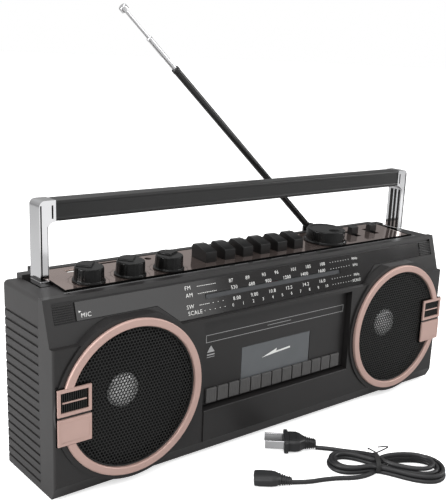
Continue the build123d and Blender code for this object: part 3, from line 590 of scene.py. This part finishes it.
def grilleSheet(name, side, replaced):
    # Cells on a honeycomb: each is a round hole's twelve points joined to its hexagon's edge.
    centre = middleOf(replaced)
    centreX, centreZ = side * speaker["centreX"], centre[2]
    pitch, hole = speaker["pitch"], speaker["hole"]
    count = int(speaker["radius"] / pitch) + 2
    rows = int(count * 1.2)
    column, row = np.meshgrid(np.arange(-count, count + 1), np.arange(-rows, rows + 1))
    x = (column + 0.5 * (row % 2)) * pitch
    z = row * pitch * math.sqrt(3) / 2
    near = np.hypot(x, z) < speaker["radius"] - 0.58 * pitch
    besidePad = side * x > speaker["padInner"] - speaker["centreX"]
    clearOfPad = ~(besidePad & (np.abs(z - (speaker["padMiddle"] - centreZ)) < speaker["padHalf"]))
    x, z = x[near & clearOfPad], z[near & clearOfPad]
    turn = np.radians(np.arange(12) * 30.0)
    edge = pitch / 2 / np.cos(np.radians((np.arange(12) % 2) * 30.0))
    ringX = np.stack([x[:, None] + edge * np.cos(turn), x[:, None] + hole * np.cos(turn)], 1)
    ringZ = np.stack([z[:, None] + edge * np.sin(turn), z[:, None] + hole * np.sin(turn)], 1)
    points = onFront(speaker["front"])(centreX + ringX, centreZ + ringZ, 0.0).reshape(-1, 3)
    cell = np.arange(len(x))[:, None] * 24
    step = np.arange(12)[None, :]
    beside = (step + 1) % 12
    corners = (cell + step, cell + beside, cell + 12 + beside, cell + 12 + step)
    faces = np.stack(np.broadcast_arrays(*corners), -1)
    data = bpy.data.meshes.new(name)
    data.from_pydata((points * mm).tolist(), [], faces.reshape(-1, 4).tolist())
    outward(data, 0.01)
    piece = bpy.data.objects.new(name, data)
    wall = piece.modifiers.new("thickness", "SOLIDIFY")
    wall.thickness = speaker["thick"] * mm
    wall.offset = 0.0
    return finishPiece(piece, "grillePaint", "root", [replaced])


def turned(name, centreX, centreZ, profile, finish, slot, replaced=(), body="root", steps=96):
    # A closed profile of radius and depth turned round an axis that points at the listener.
    profile = np.array(profile, float)
    turn = np.linspace(0, 2 * math.pi, steps, endpoint=False)
    x = centreX + profile[:, 0][:, None] * np.cos(turn)
    z = centreZ + profile[:, 0][:, None] * np.sin(turn)
    points = np.stack(np.broadcast_arrays(x, profile[:, 1][:, None], z), -1)
    return gridPiece(name, points, finish, body, replaced, closedPath=True)


def speakerPieces(side, name):
    centreX, centreZ = side * speaker["centreX"], middleOf("speaker_cone_" + name)[2]
    grilleSheet("grilleSheet_" + name, side, "grille_" + name)
    outer, inner, face = speaker["radius"], speaker["radius"] - speaker["rim"], speaker["front"]
    rim = [(outer, face + 0.5), (outer, face - 0.5), (outer - 0.3, face - 0.7), (inner, face - 0.5),
           (inner, face + 0.5)]
    turned("grilleRim_" + name, centreX, centreZ, rim, "grillePaint", "grille_metal")
    # cone: a straight wall that swells into a rolled edge
    share = np.linspace(0, 1, 26)
    radius = speaker["dome"] + (speaker["cone"] - speaker["dome"]) * share
    depth = speaker["coneBack"] + (speaker["coneFront"] - speaker["coneBack"]) * share ** 0.85
    roll = np.clip((share - 0.78) / 0.22, 0, 1)
    swelling = 1.6 * np.sin(math.pi * roll) * (share < 0.999)
    depth = depth - swelling + 0.12 * np.sin(share * 40) * (share < 0.7)
    front = list(zip(radius, np.maximum(depth, -38.6)))
    back = [(speaker["cone"], speaker["coneFront"] + 1.2), (speaker["dome"], speaker["coneBack"] + 1.4)]
    turned("cone_" + name, centreX, centreZ, front + back, "coneCloth", "cone_paper",
           ["speaker_cone_" + name])
    dome = np.linspace(0, 1, 14)
    bulge = list(zip(speaker["dome"] * np.sin(dome * 1.5) / math.sin(1.5) + 0.02,
                     speaker["coneBack"] - (speaker["coneBack"] - speaker["domeFront"]) * np.cos(dome * 1.5)))
    bulge.append((0.02, speaker["coneBack"]))
    turned("dustCap_" + name, centreX, centreZ, bulge, "domeSilver", "cone_paper")


for side, name in ((-1, "left"), (1, "right")):
    speakerPieces(side, name)
print("speakers made")

# knobs
knob = {"radius": 9.8, "flange": 11.1, "height": 10.2, "flutes": 18, "fluteDepth": 0.14, "ridge": 1.0,
        "pointers": {"volume": -40, "balance": -43, "tone": -62}}
tuning = {"spot": (80.7, 27.0), "radius": 15.9, "flange": 18.0, "height": 10.4, "flutes": 60,
          "fluteDepth": 0.22, "dimple": (2.5, -8.0, 5.2, 1.5)}


def knobRings(size):
    # Radius and height of each ring, from under the flange to the middle of the top.
    r, f, h = size["radius"], size["flange"], size["height"]
    side = [(f - 0.5, 0.4), (f, 0.55), (f, 0.95), (f - 0.3, 1.1), (r + 0.35, 1.2), (r + 0.3, 2.25)]
    side += [(r + 0.25 - 0.04 * i, 2.3 + (h - 3.4) * i / 8) for i in range(1, 9)]
    side += [(r - 0.15, h - 0.6), (r - 0.35, h - 0.15), (r - 0.7, h)]
    side += [(r * s, h) for s in np.linspace(0.9, 0.03, 40)]
    return np.array(side)


def knobSurface(name, spot, size, top, finish, body, replaced):
    # Turned rings, whose sides are cut by flutes and whose top is raised by top(x, y).
    steps = 240
    rings = knobRings(size)
    turn = np.linspace(0, 2 * math.pi, steps, endpoint=False)
    radius, height = rings[:, 0][:, None], rings[:, 1][:, None]
    fluted = (height > 2.2) & (height < size["height"] - 0.8)
    wave = np.maximum(0, np.cos(size["flutes"] * turn))[None, :] ** 0.5
    radius = radius - size["fluteDepth"] * wave * fluted
    x, y = radius * np.cos(turn), radius * np.sin(turn)
    lift = np.where(height >= size["height"] - 0.01, top(x, y), 0)
    points = onDeck(spot[0] + x, spot[1] + y, height + lift)
    return gridPiece(name, points, finish, body, replaced, merge=0.001)


def knobRidge(angle):
    # A flat step behind a line and to one side of its end: clipped ramps of along and across.
    def top(x, y):
        along = x * math.cos(math.radians(angle)) + y * math.sin(math.radians(angle))
        across = -x * math.sin(math.radians(angle)) + y * math.cos(math.radians(angle))
        wall = np.clip((across + 2.4) / 0.35, 0, 1) * np.clip((2.2 - along) / 0.35, 0, 1)
        ends = np.clip((knob["radius"] - 0.8 - np.hypot(x, y)) / 0.6, 0, 1)
        return knob["ridge"] * wall * ends
    return top


def tuningTop(x, y):
    # A shallow dish with a finger dimple near its front.
    dimpleX, dimpleY, wide, deep = tuning["dimple"]
    away = np.hypot(x - dimpleX, y - dimpleY) / wide
    dish = 0.5 * np.clip((13.4 - np.hypot(x, y)) / 1.2, 0, 1)
    return -dish - deep * np.sqrt(np.clip(1 - away ** 2, 0, 1))


knobSpots = {"volume": (-146.3, 20.2), "balance": (-114.4, 20.2), "tone": (-82.6, 20.2)}
for name, spot in knobSpots.items():
    knobSurface(name + "Knob", spot, knob, knobRidge(knob["pointers"][name]), "knobPlastic", name + "_knob",
                [name + "_knob"])
knobSurface("tuningKnob", tuning["spot"], tuning, tuningTop, "knobPlastic", "tuning_knob", ["tuning_knob"])


def arcOutline(centre, radius, width, start, end, steps=40):
    # A bent strip between two angles: its outer edge, then its inner edge the other way.
    a = np.radians(np.linspace(start, end, steps))
    edge = np.stack([np.cos(a), np.sin(a)], 1)
    outline = np.vstack([(radius + width / 2) * edge, (radius - width / 2) * edge[::-1]])
    return outline + np.array(centre)


# arc: radius, width, start, end; ticks: inner and outer radius, half width as an angle, step
knobScale = {"arc": (13.4, 0.35, -40, 220), "ticks": (13.6, 14.8, 0.012, 26)}
arcs = []
for x, back in knobSpots.values():
    arcs.append(arcOutline((x, back), *knobScale["arc"]))
    near, far, half, apart = knobScale["ticks"]
    for tick in np.radians(np.arange(knobScale["arc"][2], knobScale["arc"][3] + 1, apart)):
        arcs.append([(x + r * math.cos(tick + e), back + r * math.sin(tick + e))
                     for r, e in ((near, -half), (far, -half), (far, half), (near, half))])
prisms("knobArcs", arcs, onDeck, -0.1, 0.04, "bronzeLine", "root", "deck_bronze")
print("knobs made")

# cassette keys and slide caps
keySet = {"width": 9.8, "frontY": -7.05, "depth": 18.0, "frontZ": 142.7, "ridgeZ": 145.9, "ridgeDepth": 1.6,
          "ridgeFlat": 4.2, "backZ": 143.9, "footZ": 128.0, "stops": (-36.6, 5.6), "pitch": 17.6}
for name in ("pause", "stop", "forward", "rewind", "play", "record"):
    x = middleOf("key_" + name)[0]
    front, back = keySet["frontY"], keySet["frontY"] + keySet["depth"]
    ridge, foot, top = back - keySet["ridgeDepth"], keySet["footZ"], keySet["ridgeZ"]
    outline = [(front, foot), (back, foot), (back, keySet["backZ"]), (ridge, top),
               (ridge - keySet["ridgeFlat"], top), (front + 1.0, keySet["frontZ"] + 0.1),
               (front, keySet["frontZ"] - 0.7)]
    half = keySet["width"] / 2
    prisms("keyCap_" + name, [outline], onSide, x - half, x + half, "keyPlastic", "key_" + name,
           "knob_plastic", ["key_" + name], bevel=0.3, segments=2)
    # a thin lighter strip on each key's ridge top: painted highlight
    flat = rectangle(ridge - keySet["ridgeFlat"] / 2, top, keySet["ridgeFlat"] - 0.6, 0.14)
    prisms("keyRidgeHighlight_" + name, [flat], onSide, x - half + 0.5, x + half - 0.5, "paintedRidgeHighlight", "key_" + name,
           "knob_plastic")


slider = {"half": 4.2, "spots": {"function_switch": (120.0, 32.3), "band_switch": (143.5, 32.3)}}


def sliderCap(name, spot):
    # A tapered cap with three grip steps on its top and a stem through the slot.
    profile = [(-2.2, -3.0), (2.2, -3.0), (2.2, 0.5), (2.7, 0.5), (2.35, 6.2), (1.6, 6.8), (1.0, 6.1),
               (0.4, 6.8), (-0.4, 6.8), (-1.0, 6.1), (-1.6, 6.8), (-2.35, 6.2), (-2.7, 0.5), (-2.2, 0.5)]
    prisms(name + "Cap", [profile], lambda a, b, c: onDeck(spot[0] + c, spot[1] + a, b), -slider["half"],
           slider["half"], "keyPlastic", name, "knob_plastic", [name], bevel=0.3)


for name, spot in slider["spots"].items():
    sliderCap(name, spot)

# x, distance back, width and depth of the strips on and round the plate
plateTrim = {
    "tongue": (-144.5, 43.6, 11.0, 1.9), "stop": (4.2, 1.0),
    "gaps": [(0, 7.75, 340.0, 1.9), (-169.3, 29.4, 1.4, 45.0), (169.3, 29.4, 1.4, 45.0),
             (0, 51.6, 340.0, 1.0)],
    "lip": (0, 7.9, 339.0, 0.8), "rim": (0, 5.6, 344.0, 1.3), "edge": (0, 8.95, 336.4, 0.35),
}
prisms("socketTongue", [rectangle(*plateTrim["tongue"])], onDeck, -7.5, -0.9, "whitePlastic", "root",
       "spindle_white", bevel=0.2)
# black strips in the gaps round the plate and a raised black wall along its front: painted shade in the
# plate's recess
prisms("plateGapShade", [rectangle(*gap) for gap in plateTrim["gaps"]], onDeck, -0.6, 0.07, "shadeBlack", "root",
       "rubber_black")
prisms("plateLipShade", [rectangle(*plateTrim["lip"])], onDeck, -0.2, 1.1, "shadeBlack", "root", "rubber_black",
       bevel=0.15)
# a lighter grey strip along the rim: painted highlight in place of its reflections
prisms("rimHighlightStrip", [rectangle(*plateTrim["rim"])], onDeck, -0.2, 0.08, "paintedRimHighlight", "root", "case_plastic")
prisms("plateEdge", [rectangle(*plateTrim["edge"])], onDeck, -0.1, 0.06, "bronzePlate", "root", "deck_bronze")
stopX, stopBack = keySet["stops"]
stops = [rectangle(stopX + keySet["pitch"] * i, stopBack, *plateTrim["stop"]) for i in range(6)]
prisms("keyStops", stops, onDeck, -0.2, 0.5, "keyPlastic", "root", "case_plastic", bevel=0.25)
print("keys and slides made")

# dial
dial = {
    "rows": {"fm": 21.9, "am": 16.8, "sw": 8.8, "scale": 4.3},
    "fm": [("87", -43.5), ("89", -27.9), ("93", -12.1), ("96", 0.6), ("101", 18.1), ("105", 33.9),
           ("108", 49.5)],
    "am": [("530", -41.3), ("680", -24.7), ("900", -8.5), ("1200", 10.6), ("1400", 28.9), ("1600", 47.9)],
    "sw": [("8.00", -40.2), ("9.00", -23.6), ("10.8", -5.9), ("12.5", 11.2), ("14.2", 28.9), ("16.0", 46.9)],
    "scale": [(str(i), -44.6 + 9.57 * i) for i in range(11)],
    "names": [("FM", -82.0, "fm"), ("AM", -81.5, "am"), ("SW", -81.8, "sw"), ("SCALE", -78.4, "scale"),
              ("MIC", -161.6, "am"), ("MHz", 86.4, "fm"), ("kHz", 86.4, "am"), ("MHz", 86.4, "sw"),
              ("SCALE", 85.6, "scale")],
    "numberSize": 3.7, "nameSize": 4.0, "smallSize": 3.2,
    # band, first and last place, count
    "dots": [(band, 58.0, 79.0, 8) for band in ("fm", "am", "sw", "scale")]
    + [("scale", -70, -52, 5), ("sw", -62, -53, 3)],
    "dotSize": 0.55,
    # band, count; first place, pitch, width, height
    "dashes": [("fm", 11), ("am", 11), ("sw", 6)], "dash": (-73.5, 1.55, 0.95, 0.42),
    "mark": [(-166.6, 20.0), (-164.6, 19.3), (-166.6, 18.6)], "band": (1.0, 13.3, 135.6, 3.9),
    # distance from the middle, lowest, pitch, width, height, count
    "ribs": (177.0, 14.6, 1.46, 14.6, 0.8, 8),
}


def wordMesh(text, size):
    # Vertices and faces of a line of type, centred on its own middle, in millimetres.
    letters = bpy.data.curves.new("letters", "FONT")
    letters.body = text
    letters.size = size
    letters.space_character = 1.12
    letters.extrude = 0.035
    letters.resolution_u = 3
    holder = bpy.data.objects.new("letters", letters)
    bpy.context.scene.collection.objects.link(holder)
    bpy.context.view_layer.update()
    data = bpy.data.meshes.new_from_object(holder.evaluated_get(bpy.context.evaluated_depsgraph_get()))
    points = np.empty(len(data.vertices) * 3)
    data.vertices.foreach_get("co", points)
    points = points.reshape(-1, 3)
    faces = [list(face.vertices) for face in data.polygons]
    bpy.data.objects.remove(holder)
    bpy.data.curves.remove(letters)
    bpy.data.meshes.remove(data)
    points[:, :2] -= (points[:, :2].min(0) + points[:, :2].max(0)) / 2
    return points, faces


def printWords(name, words, place, out, finish, body):
    # Each word is text, its middle's two places, and its size.
    allPoints, allFaces, start = [], [], 0
    for text, x, up, size in words:
        points, faces = wordMesh(text, size)
        allPoints.append(place(points[:, 0] + x, points[:, 1] + up, points[:, 2] + out))
        allFaces += [[start + i for i in face] for face in faces]
        start += len(points)
    data = bpy.data.meshes.new(name)
    data.from_pydata((np.vstack(allPoints) * mm).tolist(), [], allFaces)
    return finishPiece(bpy.data.objects.new(name, data), finish, body)


words = []
for band in ("fm", "am", "sw", "scale"):
    size = dial["smallSize"] if band == "scale" else dial["numberSize"]
    words += [(text, x, dial["rows"][band], size) for text, x in dial[band]]
words += [(text, x, dial["rows"][band], dial["nameSize"] if x < 0 else dial["smallSize"])
          for text, x, band in dial["names"]]
printWords("dialNumbers", words, onSlope, slopeSet["glass"] + 0.03, "whiteInk", "root")
glass, dotSize = slopeSet["glass"], dial["dotSize"]
marks = []
for band, first, last, count in dial["dots"]:
    marks += [rectangle(x, dial["rows"][band], dotSize, dotSize) for x in np.linspace(first, last, count)]
# short dashes in place of small words
first, apart, width, height = dial["dash"]
for band, count in dial["dashes"]:
    marks += [rectangle(first + apart * i, dial["rows"][band], width, height) for i in range(count)]
marks.append(dial["mark"])
prisms("dialDots", marks, onSlope, glass - 0.02, glass + 0.05, "whiteInk", "root", "dial_gloss")
prisms("dialBand", [rectangle(*dial["band"])], onSlope, glass - 2.2, glass - 0.75, "pointerBand", "root",
       "dial_gloss", bevel=0.1)
ribX, ribLow, apart, width, height, count = dial["ribs"]
ribs = [rectangle(side * ribX, ribLow + apart * i, width, height) for side in (-1, 1) for i in range(count)]
prisms("cheekRibs", ribs, onSlope, glass - 1.4, glass + 0.3, "casePlastic", "root", "case_plastic",
       bevel=0.25)
print("dial made")

# cassette door
door = {
    "face": -33.8, "frame": (-68.6, 84.9, 70.7, 90.2), "line": 0.35,
    "eject": [(-67.6, 77.2), (-60.8, 77.2), (-64.2, 82.2)],
    # x, height, width and height of the bars
    "bars": [(-64.2, 75.4, 6.8, 0.9), (-64.2, 73.6, 6.8, 0.4), (1.0, 87.6, 24.0, 0.35)],
    "window": (0, 61.7, 69.7, 25.9),
    "arrow": [(-14.5, 62.6), (0.2, 67.4), (-0.6, 65.2), (14.0, 66.4), (14.0, 65.0), (-0.9, 63.9)],
    "ribCount": 13, "ribPitch": 10.6, "ribHeight": 44.6, "rib": (9.3, 10.8), "groovePitch": 1.5,
    "groove": (0.45, 9.6),
}
onDoor = onFront(door["face"])
doorLines = lineFrame(*door["frame"], door["line"]) + [door["eject"]]
doorLines += [rectangle(*bar) for bar in door["bars"]]
prisms("doorLines", doorLines, onDoor, -0.05, 0.06, "greyInk", "door", "case_plastic")
prisms("doorWindow", [rectangle(*door["window"])], onDoor, -2.4, -0.25, "windowTint", "door", "window_tint",
       ["door_window"], bevel=0.35)
prisms("windowArrow", [door["arrow"]], onDoor, -0.27, -0.16, "whiteInk", "door", "window_tint")
ribSpots = [door["ribPitch"] * (i - door["ribCount"] // 2) for i in range(door["ribCount"])]
ribOutlines = [rectangle(x, door["ribHeight"], *door["rib"]) for x in ribSpots]
prisms("doorRibs", ribOutlines, onDoor, 0.1, 1.95, "doorRib", "door", "case_plastic", bevel=0.35)
ribGrooves = [rectangle(x + door["groovePitch"] * j, door["ribHeight"], *door["groove"])
              for x in ribSpots for j in (-2, -1, 0, 1, 2)]
prisms("doorRibLines", ribGrooves, onDoor, 1.7, 2.1, "doorRib", "door", "case_plastic")
print("cassette door made")

# handle
handle = {
    "armIn": 172.0, "front": -0.3, "back": 13.8, "gripLow": 175.1, "top": 189.1, "curve": 5.2,
    # distance from the middle of the grip's end sections, and their size
    "gripEnds": [(163.8, 1), (164.2, 0.985), (164.6, 0.985), (165.6, 0.985), (166.2, 0.965), (166.4, 0.90)],
    "section": (7.0, 6.95, 9.0), "slit": (168.9, 181.6, 1.1, 8.6), "collar": (175.0, 136.6, 6.2, 0.7),
    "grooves": [(176.9, 161.0, 0.95, 50.0), (172.35, 155.0, 0.35, 35.0)],
    # y and width, then height and length
    "stripes": [(1.4, 2.4), (5.6, 2.6), (9.7, 3.2)], "stripeRun": (155.6, 37.0),
}


def gripSurface():
    # A rounded box section carried along X; its ends step in and its front has a shallow panel.
    middleY, middleZ = (handle["front"] + handle["back"]) / 2, (handle["gripLow"] + handle["top"]) / 2
    across, up = superRing(*handle["section"], 96)
    ends = np.array(handle["gripEnds"])
    x = np.concatenate([-ends[::-1, 0], [-120, -60, 0, 60, 120], ends[:, 0]])
    size = np.concatenate([ends[::-1, 1], np.ones(5), ends[:, 1]])
    panel = 1 - 0.05 * (np.abs(up) < 4.6) * (np.abs(across) > 5.5)
    y = middleY + across[None, :] * size[:, None] * panel[None, :]
    z = middleZ + up[None, :] * size[:, None]
    points = np.stack(np.broadcast_arrays(x[:, None], y, z), -1)
    return gridPiece("gripBar", points, "gripPlastic", "handle", ["handle_grip"])


def mirrored(side, x, z, width, height):
    return rectangle(side * x, z, width, height)


gripSurface()
armDepth = handle["back"] - handle["front"]
for side, name in ((-1, "left"), (1, "right")):
    inner, low, curve = side * (handle["armIn"] + 0.2), handle["gripLow"] + 0.2, handle["curve"]
    turn = np.linspace(0, math.pi / 2, 12)
    arc = np.stack([inner - side * curve * (1 - np.cos(turn)), low - curve * (1 - np.sin(turn))], 1)
    prisms("armCorner_" + name, [np.vstack([[(inner, low)], arc])], onFront(handle["back"]), 0.25,
           armDepth - 0.05, "chrome", "handle", "handle_chrome")
    onArm = onFront(handle["front"])
    # black slit and grooves in the arm's front: painted shade in them
    prisms("armSlitShade_" + name, [mirrored(side, *handle["slit"])], onArm, -0.3, 0.08, "shadeBlack", "handle",
           "rubber_black")
    prisms("armCollar_" + name, [mirrored(side, *handle["collar"])], onFront(handle["back"] + 0.15), 0,
           armDepth + 0.3, "satinSteel", "handle", "handle_chrome", bevel=0.2)
    prisms("armGrooveShade_" + name, [mirrored(side, *groove) for groove in handle["grooves"]], onArm, -0.3, 0.06,
           "shadeBlack", "handle", "rubber_black")
    innerSide = sorted((side * (handle["armIn"] + 0.2), side * (handle["armIn"] - 0.06)))
    height, length = handle["stripeRun"]
    stripes = [rectangle(y, height, width, length) for y, width in handle["stripes"]]
    prisms("armStripes_" + name, stripes, onSide, *innerSide, "darkStripe", "handle", "rubber_black")
print("handle made")

# antenna details
aerial = {
    "pivot": (96.1, 36.4, 138.5), "tilt": 41.8,
    # radius and distance along the antenna
    "tubeCollar": [(2.75, 194.5), (2.95, 194.9), (2.95, 197.6), (2.6, 198.2), (1.95, 198.3)],
    "middleCollar": [(1.9, 226.4), (2.05, 226.7), (2.05, 228.2), (1.7, 228.7), (1.25, 228.8)],
    "tip": (2.9, 2.0, 256.5),
}


def aerialRing(name, profile, finish, body):
    # Radius and distance along the antenna, turned round its line.
    tilt = math.radians(aerial["tilt"])
    line = np.array((-math.cos(tilt), 0, math.sin(tilt)))
    above = np.array((math.sin(tilt), 0, math.cos(tilt)))
    profile = np.array(profile, float)
    turn = np.linspace(0, 2 * math.pi, 40, endpoint=False)
    radius, along = profile[:, 0][:, None, None], profile[:, 1][:, None, None]
    points = (np.array(aerial["pivot"]) + along * line + radius * np.cos(turn)[None, :, None] * above
              + radius * np.sin(turn)[None, :, None] * np.array((0, 1, 0)))
    return gridPiece(name, points, finish, body)


aerialRing("tubeCollar", aerial["tubeCollar"], "antennaBlack", "antenna_tube")
aerialRing("middleCollar", aerial["middleCollar"], "chrome", "antenna_middle")
# the tip's profile: radius = a sin^0.7, along = c - b cos
ball = np.linspace(0.02, math.pi - 0.02, 24)
tipRadius, tipHalf, tipMiddle = aerial["tip"]
tipProfile = np.stack([tipRadius * np.sin(ball) ** 0.7, tipMiddle - tipHalf * np.cos(ball)], 1)
aerialRing("tipButton", tipProfile, "chrome", "antenna_tip")
print("antenna made")

# trims beside the speakers
trim = {
    "x": 177.2, "pad": -41.6, "plate": -42.8, "shadow": (61.2, 24.8, 38.6), "opening": (71.0, 19.4, 13.2),
    # height, width and height of a louvre, pitch, count
    "louvre": (71.0, 0.7, 12.8), "pitch": 1.5, "count": 12, "bar": (70.9, 17.0, 0.9),
    "border": (10.2, 44.6, 58.2, 0.5),
}
onPad, onPlate = onFront(trim["pad"]), onFront(trim["plate"])
for side, name in ((-1, "left"), (1, "right")):
    x = side * trim["x"]
    # a black sheet behind the louvres: painted shade in the vent's opening
    prisms("louvreShade_" + name, [rectangle(x, *trim["opening"])], onPad, -1.5, -0.9, "shadeBlack", "root",
           "grille_metal")
    spots = x + trim["pitch"] * (np.arange(trim["count"]) - (trim["count"] - 1) / 2)
    louvres = [rectangle(spot, *trim["louvre"]) for spot in spots]
    prisms("louvre_" + name, louvres, onPad, -1.0, 0.3, "grillePaint", "root", "grille_metal", bevel=0.15)
    prisms("louvreBar_" + name, [rectangle(x, *trim["bar"])], onPad, -0.8, 0.9, "copper", "root",
           "copper_trim", bevel=0.2)
    prisms("trimShadow_" + name, [rectangle(x, *trim["shadow"])], onFront(trim["pad"] + 0.6), -0.4, 0.5,
           "shadeBlack", "root", "rubber_black")
    half, low, high, width = trim["border"]
    border = lineFrame(x - half, low, x + half, high, width)
    prisms("plateBorder_" + name, border, onPlate, -0.1, 0.12, "copper", "root", "copper_trim", bevel=0.05)
print("trims made")

# back of the set
backSet = {
    # battery door: depth, width and height of a rib, lowest, pitch, count
    "door": 43.0, "rib": (84, 1.6), "lowest": 20.5, "pitch": 4.4, "count": 8,
    "screws": [(-178, 20), (178, 20), (-160, 92), (160, 92)], "screwFace": 31.0, "slot": (3.4, 0.8),
}
heights = backSet["lowest"] + backSet["pitch"] * np.arange(backSet["count"])
ribs = [rectangle(0, height, *backSet["rib"]) for height in heights]
prisms("batteryDoorRibs", ribs, onBack(backSet["door"]), -0.5, 0.35, "caseBack", "battery_door",
       "case_plastic", bevel=0.2)
long, short = backSet["slot"]
screwSlots = []
for x, z in backSet["screws"]:
    screwSlots += [rectangle(x, z, long, short), rectangle(x, z, short, long)]
prisms("screwSlots", screwSlots, onBack(backSet["screwFace"]), 1.2, 1.5, "rubber", "root", "rubber_black")
print("back made")
